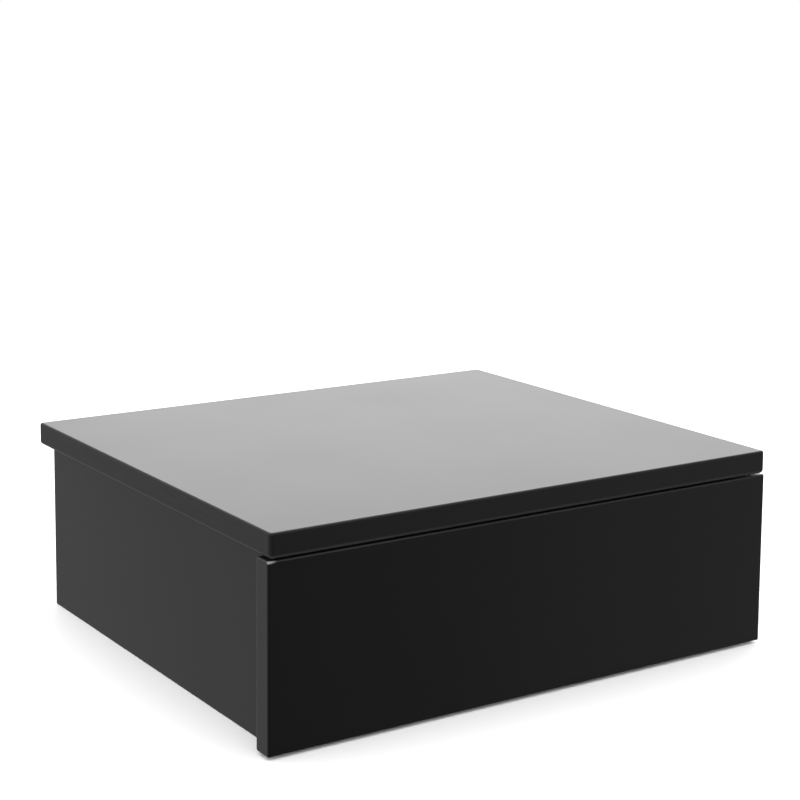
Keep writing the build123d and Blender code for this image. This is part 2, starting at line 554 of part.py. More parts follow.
# ---------------------------------------------------------------- write every piece
def main():
    os.makedirs("parts", exist_ok=True)

    cabinet_roller = make_roller(CABINET_ROLLER_R, CABINET_ROLLER_Y, CABINET_ROLLER_Z)
    drawer_roller = make_roller(DRAWER_ROLLER_R, DRAWER_ROLLER_Y, DRAWER_ROLLER_Z)
    cabinet_pin = Pos(0, CABINET_ROLLER_Y, CABINET_ROLLER_Z) * roller_pin(SIDE_INNER, -1)
    drawer_pin = Pos(0, DRAWER_ROLLER_Y, DRAWER_ROLLER_Z) * roller_pin(BOX_OUTER, 1)
    for name, shape in (
        ("side_panel", make_side_panel()),
        ("cabinet_rail", make_cabinet_rail()),
        ("drawer_rail", make_drawer_rail()),
        ("drawer_side", make_drawer_side()),
        ("cabinet_roller", cabinet_roller),
        ("drawer_roller", drawer_roller),
        ("cabinet_roller_pin", cabinet_pin),
        ("drawer_roller_pin", drawer_pin),
    ):
        save(f"right_{name}", shape)
        save(f"left_{name}", mirrored(shape))

    save("top_panel", make_top_panel())
    save("back_panel", make_back_panel())
    save("bottom_panel", make_bottom_panel())
    save("wall_plates", [make_wall_plate(-WALL_HOLE_X), make_wall_plate(WALL_HOLE_X)])
    save("closing_bumpers", make_bumpers())

    save("drawer_front", make_drawer_front())
    save("drawer_back", make_drawer_back())
    save("drawer_bottom", make_drawer_bottom())

    thick_cam = cam_lock(CAM_R, CAM_DEPTH, BOARD / 2)
    thin_cam = cam_lock(THIN_CAM_R, THIN_CAM_DEPTH, DRAWER_BOARD / 2)
    bolt = cam_bolt(CAM_REACH)
    save("top_cam_locks", placed(top_cams, thick_cam))
    save("top_cam_bolts", placed(top_bolts, bolt))
    save("back_cam_locks", placed(back_cams, thick_cam))
    save("back_cam_bolts", placed(back_bolts, bolt))
    save("drawer_cam_locks", placed(drawer_cams, thin_cam))
    save("drawer_cam_bolts", placed(drawer_bolts, bolt))

    thick_dowel = dowel(DOWEL_R, DOWEL_LENGTH, DOWEL_IN_FACE)
    save("top_dowels", placed(top_dowels, thick_dowel) + placed_once(back_top_dowels, thick_dowel))
    save("back_dowels", placed([back_dowel], thick_dowel))
    save("drawer_front_dowels", placed([drawer_dowel], dowel(THIN_DOWEL_R, DOWEL_LENGTH, DOWEL_IN_FACE)))

    cabinet_screw = csk_screw(RAIL_SCREW_R, RAIL_SCREW, RAIL_SCREW_HEAD_R)
    drawer_screw = csk_screw(RAIL_SCREW_R, DRAWER_SCREW, RAIL_SCREW_HEAD_R)
    plate_screw = csk_screw(PLATE_SCREW_R, PLATE_SCREW, PLATE_SCREW_HEAD_R)
    box_screw = csk_screw(BOX_SCREW_R, BOX_SCREW, BOX_SCREW_HEAD_R)
    bottom_screw = csk_screw(BOTTOM_SCREW_R, BOTTOM_SCREW, BOTTOM_SCREW_HEAD_R)
    save("cabinet_rail_screws", placed(cabinet_screws, cabinet_screw))
    save("drawer_rail_screws", placed(drawer_screws, drawer_screw))
    save("wall_plate_screws", placed(plate_screws, plate_screw))
    save("drawer_back_screws", placed(box_screws, box_screw))
    save("drawer_bottom_screws", placed_once(bottom_screws, bottom_screw))


main()
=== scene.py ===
from math import cos, pi, radians, sin

import bmesh
import bpy
from bpy.props import FloatProperty, FloatVectorProperty, IntProperty, PointerProperty
from mathutils import Matrix, Vector


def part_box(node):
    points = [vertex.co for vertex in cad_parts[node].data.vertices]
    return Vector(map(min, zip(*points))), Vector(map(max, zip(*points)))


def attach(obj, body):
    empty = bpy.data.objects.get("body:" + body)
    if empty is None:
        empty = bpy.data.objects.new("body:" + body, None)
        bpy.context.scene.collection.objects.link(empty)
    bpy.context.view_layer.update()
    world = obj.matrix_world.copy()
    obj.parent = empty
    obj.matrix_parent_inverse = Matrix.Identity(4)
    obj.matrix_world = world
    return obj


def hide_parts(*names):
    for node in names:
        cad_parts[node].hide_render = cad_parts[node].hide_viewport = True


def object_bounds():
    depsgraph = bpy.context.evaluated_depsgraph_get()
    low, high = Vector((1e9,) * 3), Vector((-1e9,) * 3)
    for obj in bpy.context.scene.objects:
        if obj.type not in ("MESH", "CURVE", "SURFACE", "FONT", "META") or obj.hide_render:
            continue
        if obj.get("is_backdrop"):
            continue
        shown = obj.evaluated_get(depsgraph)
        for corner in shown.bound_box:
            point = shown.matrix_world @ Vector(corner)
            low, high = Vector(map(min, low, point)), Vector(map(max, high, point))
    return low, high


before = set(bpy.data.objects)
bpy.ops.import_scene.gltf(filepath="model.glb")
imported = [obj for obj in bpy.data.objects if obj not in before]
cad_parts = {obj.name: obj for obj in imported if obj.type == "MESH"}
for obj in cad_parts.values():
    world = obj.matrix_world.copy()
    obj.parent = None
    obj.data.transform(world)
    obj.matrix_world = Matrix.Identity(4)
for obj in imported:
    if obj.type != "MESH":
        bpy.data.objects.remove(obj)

bl_info = {
    "name": "Wall-hung bedside drawer",
    "version": (1, 0, 0),
    "blender": (4, 5, 0),
    "location": "View3D > Sidebar > Bedside",
    "description": "Finishes and fittings of a black lacquered wall-hung bedside drawer",
    "category": "Object",
}

# The frame's own box, kept before any piece is made. +X is right, +Y is towards the wall, +Z is up.
LOW, HIGH = (Vector(corner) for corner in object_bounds())
CENTRE = (LOW + HIGH) / 2
SPAN = (HIGH - LOW).x
MM = 0.001
WAVE = 2 * pi / 20  # a wave texture of this scale repeats once a metre

X_AXIS, Y_AXIS, Z_AXIS = (1.0, 0.0, 0.0), (0.0, 1.0, 0.0), (0.0, 0.0, 1.0)

# Boards by the axis that their broad faces look along, with how much duller their milled edges are, the
# colour there, and which arrises carry a painted highlight, a pale line standing in for the light that they
# catch: -1 for the lower ones and 1 for the upper ones. The edges of the drawer front and back panel are the
# palest, also painted light, standing in for the light that the drawer front's side edge catches.
LACQUERED = {
    "lying": (Z_AXIS, 0.16, "#0c0c0d", -1, ("top_panel",)),
    "side": (X_AXIS, 0.12, "#0e0e0f", 1, ("left_side_panel", "right_side_panel")),
    "front": (Y_AXIS, 0.03, "#171718", 1, ("back_panel", "drawer_front")),
}
FOIL_BOARDS = ("left_drawer_side", "right_drawer_side", "drawer_back")
HARDBOARDS = ("bottom_panel", "drawer_bottom")
RAILS = ("left_cabinet_rail", "right_cabinet_rail", "left_drawer_rail", "right_drawer_rail")
ROLLERS = ("left_cabinet_roller", "right_cabinet_roller", "left_drawer_roller", "right_drawer_roller")
PINS = tuple(f"{roller}_pin" for roller in ROLLERS)
CAM_LOCKS = ("top_cam_locks", "back_cam_locks", "drawer_cam_locks")
# Cam bolts, by the body that each set rides on.
CAM_BOLTS = {"top_cam_bolts": "cabinet", "back_cam_bolts": "cabinet", "drawer_cam_bolts": "drawer"}
# A cam bolt's own sizes in metres. The head's end face is 0, and the thread is the last 11 mm.
BOLT_SIZES = {
    "Head Radius": 3.2 * MM,
    "Head Length": 3.0 * MM,
    "Neck Radius": 1.9 * MM,
    "Neck End": 7.0 * MM,
    "Shank Radius": 3.0 * MM,
    "Shank End": 27.0 * MM,
    "Thread Radius": 2.5 * MM,
}

# Screws: the body that each set rides on, its shank radius and its thread pitch in millimetres.
SCREWS = {
    "cabinet_rail_screws": ("cabinet", 1.75, 1.5),
    "drawer_rail_screws": ("drawer", 1.75, 1.5),
    "wall_plate_screws": ("cabinet", 1.5, 1.35),
    "drawer_back_screws": ("drawer", 2.5, 2.4),
    "drawer_bottom_screws": ("drawer", 1.5, 1.35),
}
SCREW_LIP = 0.3 * MM  # straight rim of a screw's head
SCREW_NECK = 0.8 * MM  # plain shank between the head's cone and the thread
SCREW_TAPER = 3.2  # length of the point, in shank radii
SCREW_POINT = 0.12  # its end, as a share of the shank radius
# Length, width and height of each bar of the cross recess, in head radii. Half its height is above the head.
RECESS = (1.15, 0.3, 0.9)
# A thread's crest and root are flat. Its flank lies between these shares of a turn from the crest's middle.
THREAD_FLANK = (0.06, 0.34)
# Dowels: the body that each set rides on, and the axis that the grain runs along.
DOWELS = {
    "top_dowels": ("cabinet", Z_AXIS),
    "back_dowels": ("cabinet", X_AXIS),
    "drawer_front_dowels": ("drawer", Y_AXIS),
}
DOWEL_RINGS = 31  # rings of points along a dowel, close enough for its chamfers

# Soft panels of light: bearing in degrees, 0 behind the object and 90 to its right, then distance, height
# and size in metres.
PANEL_BEHIND = (41.5, 2.8, 1.1, (2.8, 1.9))
PANEL_ABOVE = (0, 0.5, 2.4, (2.4, 2.0))


# ---------------------------------------------------------------- small tools
def linear(hex_colour):
    """An sRGB hex colour as linear red, green, blue and full alpha."""
    parts = [int(hex_colour[i : i + 2], 16) / 255 for i in (1, 3, 5)]
    return [p / 12.92 if p <= 0.04045 else ((p + 0.055) / 1.055) ** 2.4 for p in parts] + [1.0]


def add_node(tree, kind, settings=None, links=None):
    """Adds a node. settings name its properties or sockets; links name sockets and what feeds them."""
    node = tree.nodes.new(kind)
    for key, value in (settings or {}).items():
        if isinstance(key, str) and hasattr(node, key):
            setattr(node, key, value)
        else:
            node.inputs[key].default_value = value
    for key, source in (links or {}).items():
        tree.links.new(source, node.inputs[key])
    return node


def new_material(name, colour, roughness, settings=None):
    """A material with one Principled shader, and that shader and its tree."""
    material = bpy.data.materials.new(name)
    material.use_nodes = True
    tree = material.node_tree
    tree.nodes.clear()
    values = {"Base Color": colour, "Roughness": roughness, **(settings or {})}
    shader = add_node(tree, "ShaderNodeBsdfPrincipled", values)
    add_node(tree, "ShaderNodeOutputMaterial", links={"Surface": shader.outputs["BSDF"]})
    return material, tree, shader


def dress(names, material):
    """Puts material on every named CAD node."""
    for name in names:
        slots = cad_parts[name].data.materials
        slots.clear()
        slots.append(material)


def stretch(axis, along, across):
    """A pattern's scale on each axis: one repeat per along metres on axis, per across metres elsewhere."""
    return [1 / along if part else 1 / across for part in axis]


# ---------------------------------------------------------------- materials
def drift_colour(tree, shader, size, detail, tints):
    """Colour that drifts between two tints, in patches about size metres wide. Returns the patches, for
    sheen or dents to follow."""
    place = add_node(tree, "ShaderNodeTexCoord").outputs["Object"]
    patches = add_node(
        tree, "ShaderNodeTexNoise", {"Scale": 1 / size, "Detail": detail}, {"Vector": place}
    ).outputs["Fac"]
    one, other = (linear(tint) for tint in tints)
    mixed = add_node(tree, "ShaderNodeMix", {"data_type": "RGBA", 6: one, 7: other}, {0: patches})
    tree.links.new(mixed.outputs[2], shader.inputs["Base Color"])
    return patches


def make_lacquer(name, face_axis, edge_dull, edge_colour, arris_highlight_way, settings):
    """Satin black lacquer sprayed on fibreboard. The broad faces are flat and mirror a soft light as an even
    grey veil. The milled edges drink more lacquer, so they are duller and keep faint sanding lines. A pale
    line on some arrises is a painted highlight, and so is the lighter edge colour of the front boards."""
    material, tree, shader = new_material(
        f"satin_black_lacquer_{name}", settings.colour, settings.roughness, {"IOR": settings.gloss}
    )
    place = add_node(tree, "ShaderNodeTexCoord").outputs["Object"]
    # slow change in film thickness, as the gun's passes overlap
    film = add_node(
        tree, "ShaderNodeTexNoise", {"Scale": 1 / settings.film_size, "Detail": 2.0}, {"Vector": place}
    )
    # orange peel: the spray's own dimples
    peel = add_node(
        tree, "ShaderNodeTexNoise", {"Scale": 1 / settings.peel_size, "Detail": 1.0}, {"Vector": place}
    )
    # sanding lines, which run the length of an edge
    sanded = add_node(
        tree,
        "ShaderNodeMapping",
        {"Scale": stretch(face_axis, settings.line_width, settings.line_length)},
        {"Vector": place},
    )
    lines = add_node(
        tree, "ShaderNodeTexNoise", {"Scale": 1.0, "Detail": 3.0}, {"Vector": sanded.outputs["Vector"]}
    )
    # 1 on a milled edge and 0 on a broad face
    normal = add_node(tree, "ShaderNodeNewGeometry").outputs["Normal"]
    facing = add_node(
        tree, "ShaderNodeVectorMath", {"operation": "DOT_PRODUCT", 1: face_axis}, {0: normal}
    )
    flat = add_node(tree, "ShaderNodeMath", {"operation": "ABSOLUTE"}, {0: facing.outputs["Value"]})
    edge = add_node(
        tree,
        "ShaderNodeMapRange",
        {"From Min": 0.95, "From Max": 0.3, "To Min": 0.0, "To Max": 1.0},
        {"Value": flat.outputs["Value"]},
    ).outputs["Result"]

    # 1 along the arrises where the face turns up or down, where a painted highlight stands in for the light
    # that these rounded edges catch
    height = add_node(tree, "ShaderNodeSeparateXYZ", links={"Vector": normal}).outputs["Z"]
    lean = add_node(tree, "ShaderNodeMath", {"operation": "MULTIPLY", 1: arris_highlight_way}, {0: height})
    off_upright = add_node(
        tree, "ShaderNodeMapRange", {"From Min": 0.06, "From Max": 0.3}, {"Value": lean.outputs["Value"]}
    )
    off_level = add_node(
        tree, "ShaderNodeMapRange", {"From Min": 0.98, "From Max": 0.85}, {"Value": lean.outputs["Value"]}
    )
    arris = add_node(
        tree,
        "ShaderNodeMath",
        {"operation": "MULTIPLY"},
        {0: off_upright.outputs["Result"], 1: off_level.outputs["Result"]},
    )
    patchy = add_node(
        tree, "ShaderNodeMapRange", {"To Min": 0.3, "To Max": 1.0}, {"Value": film.outputs["Fac"]}
    )
    arris_highlight = add_node(
        tree,
        "ShaderNodeMath",
        {"operation": "MULTIPLY"},
        {0: arris.outputs["Value"], 1: patchy.outputs["Result"]},
    )

    face_sheen = add_node(
        tree,
        "ShaderNodeMapRange",
        {"To Min": settings.roughness - 0.015, "To Max": settings.roughness + 0.015},
        {"Value": film.outputs["Fac"]},
    )
    edge_sheen = add_node(
        tree,
        "ShaderNodeMapRange",
        {"To Min": settings.roughness, "To Max": settings.roughness + edge_dull},
        {"Value": lines.outputs["Fac"]},
    )
    sheen = add_node(
        tree,
        "ShaderNodeMix",
        {"data_type": "FLOAT"},
        {0: edge, 2: face_sheen.outputs["Result"], 3: edge_sheen.outputs["Result"]},
    )
    tree.links.new(sheen.outputs[0], shader.inputs["Roughness"])

    # the milled edges take the edge colour; the front boards' lighter edge colour is painted light, standing
    # in for the light that the drawer front's side edge catches
    tint = add_node(
        tree,
        "ShaderNodeMix",
        {"data_type": "RGBA", 6: settings.colour, 7: linear(edge_colour)},
        {0: edge},
    )
    # painted highlight: the arrises turn pale grey, in patches, standing in for the light that they catch
    with_arris_highlight = add_node(
        tree,
        "ShaderNodeMix",
        {"data_type": "RGBA", 7: settings.arris_highlight_colour},
        {0: arris_highlight.outputs["Value"], 6: tint.outputs[2]},
    )
    tree.links.new(with_arris_highlight.outputs[2], shader.inputs["Base Color"])

    dimples = add_node(
        tree,
        "ShaderNodeBump",
        {"Strength": 0.35, "Distance": 0.012 * MM},
        {"Height": peel.outputs["Fac"]},
    )
    scratches = add_node(
        tree,
        "ShaderNodeBump",
        {"Distance": 0.03 * MM},
        {"Strength": edge, "Height": lines.outputs["Fac"], "Normal": dimples.outputs["Normal"]},
    )
    tree.links.new(scratches.outputs["Normal"], shader.inputs["Normal"])
    return material


def paint_corner_glint(material, corner, height):
    """A painted glint at a corner, four times as wide as it is high: a pale grey patch in the colour that
    stands in for the light the corner catches.
    """
    tree = material.node_tree
    shader = next(node for node in tree.nodes if node.type == "BSDF_PRINCIPLED")
    lacquer = shader.inputs["Base Color"].links[0].from_socket
    place = add_node(tree, "ShaderNodeTexCoord").outputs["Object"]
    offset = add_node(tree, "ShaderNodeVectorMath", {"operation": "SUBTRACT", 1: corner}, {0: place})
    squeezed = add_node(
        tree,
        "ShaderNodeVectorMath",
        {"operation": "MULTIPLY", 1: (0.25, 1.0, 1.0)},
        {0: offset.outputs["Vector"]},
    )
    away = add_node(tree, "ShaderNodeVectorMath", {"operation": "LENGTH"}, {0: squeezed.outputs["Vector"]})
    glint_mask = add_node(
        tree,
        "ShaderNodeMapRange",
        {"From Min": height, "From Max": 0.5 * height},
        {"Value": away.outputs["Value"]},
    )
    # the glint's pale grey is painted into the lacquer's colour
    mixed = add_node(
        tree,
        "ShaderNodeMix",
        {"data_type": "RGBA", 7: linear("#7a7a79")},
        {0: glint_mask.outputs["Result"], 6: lacquer},
    )
    tree.links.new(mixed.outputs[2], shader.inputs["Base Color"])


def make_foil():
    """Melamine foil pressed on particle board: matt dark grey with a fine pebbled grain."""
    material, tree, shader = new_material("dark_foil_on_board", linear("#3a3a3b"), 0.5)
    drift_colour(tree, shader, 25 * MM, 4.0, ("#353536", "#414142"))
    place = add_node(tree, "ShaderNodeTexCoord").outputs["Object"]
    pebble = add_node(
        tree, "ShaderNodeTexVoronoi", {"Scale": 1 / (0.9 * MM), "Randomness": 1.0}, {"Vector": place}
    )
    dull = add_node(
        tree, "ShaderNodeMapRange", {"To Min": 0.42, "To Max": 0.58}, {"Value": pebble.outputs["Distance"]}
    )
    tree.links.new(dull.outputs["Result"], shader.inputs["Roughness"])
    bump = add_node(
        tree,
        "ShaderNodeBump",
        {"Strength": 0.4, "Distance": 0.05 * MM},
        {"Height": pebble.outputs["Distance"]},
    )
    tree.links.new(bump.outputs["Normal"], shader.inputs["Normal"])
    return material


def make_hardboard():
    """Wet-pressed hardboard: its painted upper face is smooth, and its underside keeps the press's screen."""
    material, tree, shader = new_material("black_faced_hardboard", linear("#242423"), 0.6)
    drift_colour(tree, shader, 2.5 * MM, 6.0, ("#1b1b1b", "#2b2a29"))
    place = add_node(tree, "ShaderNodeTexCoord").outputs["Object"]
    # the screen's wires, 1.6 mm apart, drawn where the face looks down
    wires = [
        add_node(
            tree,
            "ShaderNodeTexWave",
            {"bands_direction": way, "Scale": WAVE / (1.6 * MM), "Distortion": 0.6},
            {"Vector": place},
        ).outputs["Fac"]
        for way in ("X", "Y")
    ]
    screen = add_node(tree, "ShaderNodeMath", {"operation": "MULTIPLY"}, {0: wires[0], 1: wires[1]})
    normal = add_node(tree, "ShaderNodeNewGeometry").outputs["Normal"]
    height = add_node(tree, "ShaderNodeSeparateXYZ", links={"Vector": normal}).outputs["Z"]
    under = add_node(
        tree, "ShaderNodeMapRange", {"From Min": 0.0, "From Max": -0.8}, {"Value": height}
    ).outputs["Result"]
    bump = add_node(
        tree,
        "ShaderNodeBump",
        {"Distance": 0.25 * MM},
        {"Strength": under, "Height": screen.outputs["Value"]},
    )
    tree.links.new(bump.outputs["Normal"], shader.inputs["Normal"])
    return material


def make_rail_steel():
    """Epoxy powder baked on sheet steel: black and half glossy, with a fine pebble."""
    material, tree, shader = new_material("powder_coated_steel", linear("#1c1c1d"), 0.4)
    drift_colour(tree, shader, 12 * MM, 5.0, ("#181819", "#222224"))
    place = add_node(tree, "ShaderNodeTexCoord").outputs["Object"]
    powder = add_node(
        tree, "ShaderNodeTexNoise", {"Scale": 1 / (0.7 * MM), "Detail": 2.0}, {"Vector": place}
    )
    bump = add_node(
        tree, "ShaderNodeBump", {"Strength": 0.5, "Distance": 0.06 * MM}, {"Height": powder.outputs["Fac"]}
    )
    tree.links.new(bump.outputs["Normal"], shader.inputs["Normal"])
    return material


def make_nylon():
    """Injection-moulded nylon: milky white, softly lit from within, with a faint mottle."""
    material, tree, shader = new_material(
        "moulded_nylon",
        linear("#e4e1d8"),
        0.38,
        {"Subsurface Weight": 0.25, "Subsurface Scale": 1.5 * MM, "IOR": 1.53},
    )
    drift_colour(tree, shader, 4 * MM, 3.0, ("#dedbd1", "#eae8e1"))
    return material


def make_plated_steel(name, cool, warm, roughness):
    """Bright zinc plating, passivated: a silvery metal that drifts between a cool and a warm tint."""
    material, tree, shader = new_material(name, linear(cool), roughness, {"Metallic": 1.0})
    drift = drift_colour(tree, shader, 3 * MM, 3.0, (cool, warm))
    dull = add_node(
        tree,
        "ShaderNodeMapRange",
        {"To Min": roughness - 0.06, "To Max": roughness + 0.1},
        {"Value": drift},
    )
    tree.links.new(dull.outputs["Result"], shader.inputs["Roughness"])
    return material


def make_die_cast_zinc():
    """Die-cast zinc, tumbled: mid grey, dull, with a lightly pitted skin."""
    material, tree, shader = new_material("die_cast_zinc", linear("#9fa2a4"), 0.5, {"Metallic": 1.0})
    pits = drift_colour(tree, shader, 0.8 * MM, 4.0, ("#8b8e90", "#b2b4b5"))
    bump = add_node(tree, "ShaderNodeBump", {"Strength": 0.6, "Distance": 0.08 * MM}, {"Height": pits})
    tree.links.new(bump.outputs["Normal"], shader.inputs["Normal"])
    return material


def make_beech(name, grain_axis):
    """Dry beech, turned and unfinished: warm pale brown, with short dark flecks along the grain."""
    material, tree, shader = new_material(f"beech_{name}", linear("#c79a6b"), 0.7)
    place = add_node(tree, "ShaderNodeTexCoord").outputs["Object"]
    along = add_node(
        tree, "ShaderNodeMapping", {"Scale": stretch(grain_axis, 9 * MM, 0.5 * MM)}, {"Vector": place}
    )
    grain = add_node(
        tree, "ShaderNodeTexNoise", {"Scale": 1.0, "Detail": 4.0}, {"Vector": along.outputs["Vector"]}
    )
    tint = add_node(
        tree,
        "ShaderNodeMix",
        {"data_type": "RGBA", 6: linear("#a9794d"), 7: linear("#d6b085")},
        {0: grain.outputs["Fac"]},
    )
    tree.links.new(tint.outputs[2], shader.inputs["Base Color"])
    bump = add_node(
        tree, "ShaderNodeBump", {"Strength": 0.4, "Distance": 0.05 * MM}, {"Height": grain.outputs["Fac"]}
    )
    tree.links.new(bump.outputs["Normal"], shader.inputs["Normal"])
    return material


def make_bumper_rubber():
    """Cast polyurethane: clear and soft, with a faint haze."""
    material, tree, shader = new_material(
        "clear_polyurethane", linear("#dfe2e2"), 0.25, {"Transmission Weight": 0.75, "IOR": 1.49}
    )
    place = add_node(tree, "ShaderNodeTexCoord").outputs["Object"]
    haze = add_node(
        tree, "ShaderNodeTexNoise", {"Scale": 1 / (1.5 * MM), "Detail": 2.0}, {"Vector": place}
    )
    dull = add_node(
        tree, "ShaderNodeMapRange", {"To Min": 0.18, "To Max": 0.34}, {"Value": haze.outputs["Fac"]}
    )
    tree.links.new(dull.outputs["Result"], shader.inputs["Roughness"])
    return material


# ---------------------------------------------------------------- reading where small parts lie
def islands(node):
    """The vertex places of each separate solid in a CAD node, read from a merged copy of its mesh."""
    shape = bmesh.new()
    shape.from_mesh(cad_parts[node].data)
    bmesh.ops.remove_doubles(shape, verts=shape.verts, dist=0.001 * MM)
    left = set(shape.verts)
    found = []
    while left:
        queue = [left.pop()]
        island = []
        while queue:
            vert = queue.pop()
            island.append(vert.co.copy())
            near = {edge.other_vert(vert) for edge in vert.link_edges} & left
            left -= near
            queue.extend(near)
        found.append(island)
    shape.free()
    return found


def axis_and_ends(island):
    """Long axis of a slim turned part, its wider end, its other end and its largest radius."""
    low = Vector([min(v[i] for v in island) for i in range(3)])
    high = Vector([max(v[i] for v in island) for i in range(3)])
    size = high - low
    long = max(range(3), key=lambda i: size[i])
    others = [i for i in range(3) if i != long]
    middle = (low + high) / 2
    ends = []
    for value in (low[long], high[long]):
        rim = [v for v in island if abs(v[long] - value) < 0.05 * MM]
        spread = max(max(abs(v[i] - middle[i]) for v in rim) for i in others)
        point = middle.copy()
        point[long] = value
        ends.append((spread, point))
    ends.sort(key=lambda end: -end[0])
    return ends[0][1], ends[1][1], max(size[i] for i in others) / 2


def fasteners(node):
    """Where the like fasteners of a CAD node start and which way they point, their length and radius."""
    ends = sorted((axis_and_ends(island) for island in islands(node)), key=lambda end: tuple(end[0]))
    heads = [head for head, tip, radius in ends]
    into = [(tip - head).normalized() for head, tip, radius in ends]
    head, tip, radius = ends[0]
    return heads, into, (tip - head).length, radius


# ---------------------------------------------------------------- geometry node trees
def new_tree(name, sizes, counts=()):
    """A geometry tree with named inputs: Points, its sizes, its counts and Material."""
    tree = bpy.data.node_groups.new(name, "GeometryNodeTree")
    sockets = {
        "Points": "NodeSocketGeometry",
        **dict.fromkeys(sizes, "NodeSocketFloat"),
        **dict.fromkeys(counts, "NodeSocketInt"),
        "Material": "NodeSocketMaterial",
    }
    for label, kind in sockets.items():
        tree.interface.new_socket(name=label, in_out="INPUT", socket_type=kind)
    tree.interface.new_socket(name="Geometry", in_out="OUTPUT", socket_type="NodeSocketGeometry")
    return tree, add_node(tree, "NodeGroupInput").outputs


def finish_tree(tree, start, piece):
    """Stands piece on every point, its Z against the point's into direction, and gives it its material."""
    into = add_node(
        tree, "GeometryNodeInputNamedAttribute", {"data_type": "FLOAT_VECTOR", "Name": "into"}
    )
    out = add_node(
        tree,
        "ShaderNodeVectorMath",
        {"operation": "SCALE", "Scale": -1.0},
        {0: into.outputs["Attribute"]},
    )
    turn = add_node(
        tree, "FunctionNodeAlignRotationToVector", {"axis": "Z"}, {"Vector": out.outputs["Vector"]}
    )
    copies = add_node(
        tree,
        "GeometryNodeInstanceOnPoints",
        links={"Points": start["Points"], "Instance": piece, "Rotation": turn.outputs["Rotation"]},
    )
    real = add_node(
        tree, "GeometryNodeRealizeInstances", links={"Geometry": copies.outputs["Instances"]}
    )
    painted = add_node(
        tree,
        "GeometryNodeSetMaterial",
        links={"Geometry": real.outputs["Geometry"], "Material": start["Material"]},
    )
    add_node(tree, "NodeGroupOutput", links={"Geometry": painted.outputs["Geometry"]})


def thread(tree, start, skin, depth, first):
    """Presses a helical groove in skin, from depth first onwards. It fades in over the first half turn, and
    its crests climb one pitch for each turn."""
    place = add_node(tree, "GeometryNodeInputPosition").outputs["Position"]
    parts = add_node(tree, "ShaderNodeSeparateXYZ", links={"Vector": place}).outputs
    angle = add_node(tree, "ShaderNodeMath", {"operation": "ARCTAN2"}, {0: parts["Y"], 1: parts["X"]})
    turn = add_node(
        tree, "ShaderNodeMath", {"operation": "DIVIDE", 1: 2 * pi}, {0: angle.outputs["Value"]}
    )
    rise = add_node(tree, "ShaderNodeMath", {"operation": "DIVIDE"}, {0: depth, 1: start["Pitch"]})
    phase = add_node(
        tree, "ShaderNodeMath", {"operation": "ADD"}, {0: turn.outputs["Value"], 1: rise.outputs["Value"]}
    )
    crest = add_node(
        tree, "ShaderNodeMath", {"operation": "PINGPONG", 1: 0.5}, {0: phase.outputs["Value"]}
    )
    flank_top, flank_foot = THREAD_FLANK
    dip = add_node(
        tree,
        "ShaderNodeMapRange",
        {"From Min": flank_top, "From Max": flank_foot},
        {"Value": crest.outputs["Value"]},
    )
    past = add_node(tree, "ShaderNodeMath", {"operation": "SUBTRACT"}, {0: depth, 1: first})
    half_turn = add_node(tree, "ShaderNodeMath", {"operation": "MULTIPLY", 1: 0.5}, {0: start["Pitch"]})
    reach = add_node(
        tree,
        "ShaderNodeMapRange",
        links={"Value": past.outputs["Value"], "From Max": half_turn.outputs["Value"]},
    )
    deep = add_node(
        tree,
        "ShaderNodeMath",
        {"operation": "MULTIPLY"},
        {0: dip.outputs["Result"], 1: reach.outputs["Result"]},
    )
    inward = add_node(
        tree,
        "ShaderNodeMath",
        {"operation": "MULTIPLY"},
        {0: deep.outputs["Value"], 1: start["Thread Depth"]},
    )
    flat = add_node(tree, "ShaderNodeVectorMath", {"operation": "MULTIPLY", 1: (-1, -1, 0)}, {0: place})
    pull = add_node(
        tree,
        "ShaderNodeVectorMath",
        {"operation": "SCALE"},
        {0: flat.outputs["Vector"], "Scale": inward.outputs["Value"]},
    )
    pressed = add_node(
        tree, "GeometryNodeSetPosition", links={"Geometry": skin, "Offset": pull.outputs["Vector"]}
    )
    return pressed.outputs["Geometry"]


def spindle(tree, start, steps_per_turn):
    """A straight line down from the head's end face, in short steps, and the depth below that face."""
    down = add_node(tree, "ShaderNodeMath", {"operation": "MULTIPLY", 1: -1.0}, {0: start["Length"]})
    end = add_node(tree, "ShaderNodeCombineXYZ", links={"Z": down.outputs["Value"]})
    line = add_node(tree, "GeometryNodeCurvePrimitiveLine", links={"End": end.outputs["Vector"]})
    turns = add_node(
        tree, "ShaderNodeMath", {"operation": "DIVIDE"}, {0: start["Length"], 1: start["Pitch"]}
    )
    steps = add_node(
        tree, "ShaderNodeMath", {"operation": "MULTIPLY", 1: steps_per_turn}, {0: turns.outputs["Value"]}
    )
    spine = add_node(
        tree,
        "GeometryNodeResampleCurve",
        links={"Curve": line.outputs["Curve"], "Count": steps.outputs["Value"]},
    )
    place = add_node(tree, "GeometryNodeInputPosition").outputs["Position"]
    up = add_node(tree, "ShaderNodeSeparateXYZ", links={"Vector": place}).outputs["Z"]
    depth = add_node(tree, "ShaderNodeMath", {"operation": "MULTIPLY", 1: -1.0}, {0: up})
    return spine.outputs["Curve"], depth.outputs["Value"]


def turn_on_lathe(tree, spine, radius, sides):
    """A closed round skin about spine, with the radius that a field gives along it."""
    ring = add_node(tree, "GeometryNodeCurvePrimitiveCircle", {"Resolution": sides, "Radius": 1.0})
    skin = add_node(
        tree,
        "GeometryNodeCurveToMesh",
        {"Fill Caps": True},
        {"Curve": spine, "Profile Curve": ring.outputs["Curve"], "Scale": radius},
    )
    return skin.outputs["Mesh"]


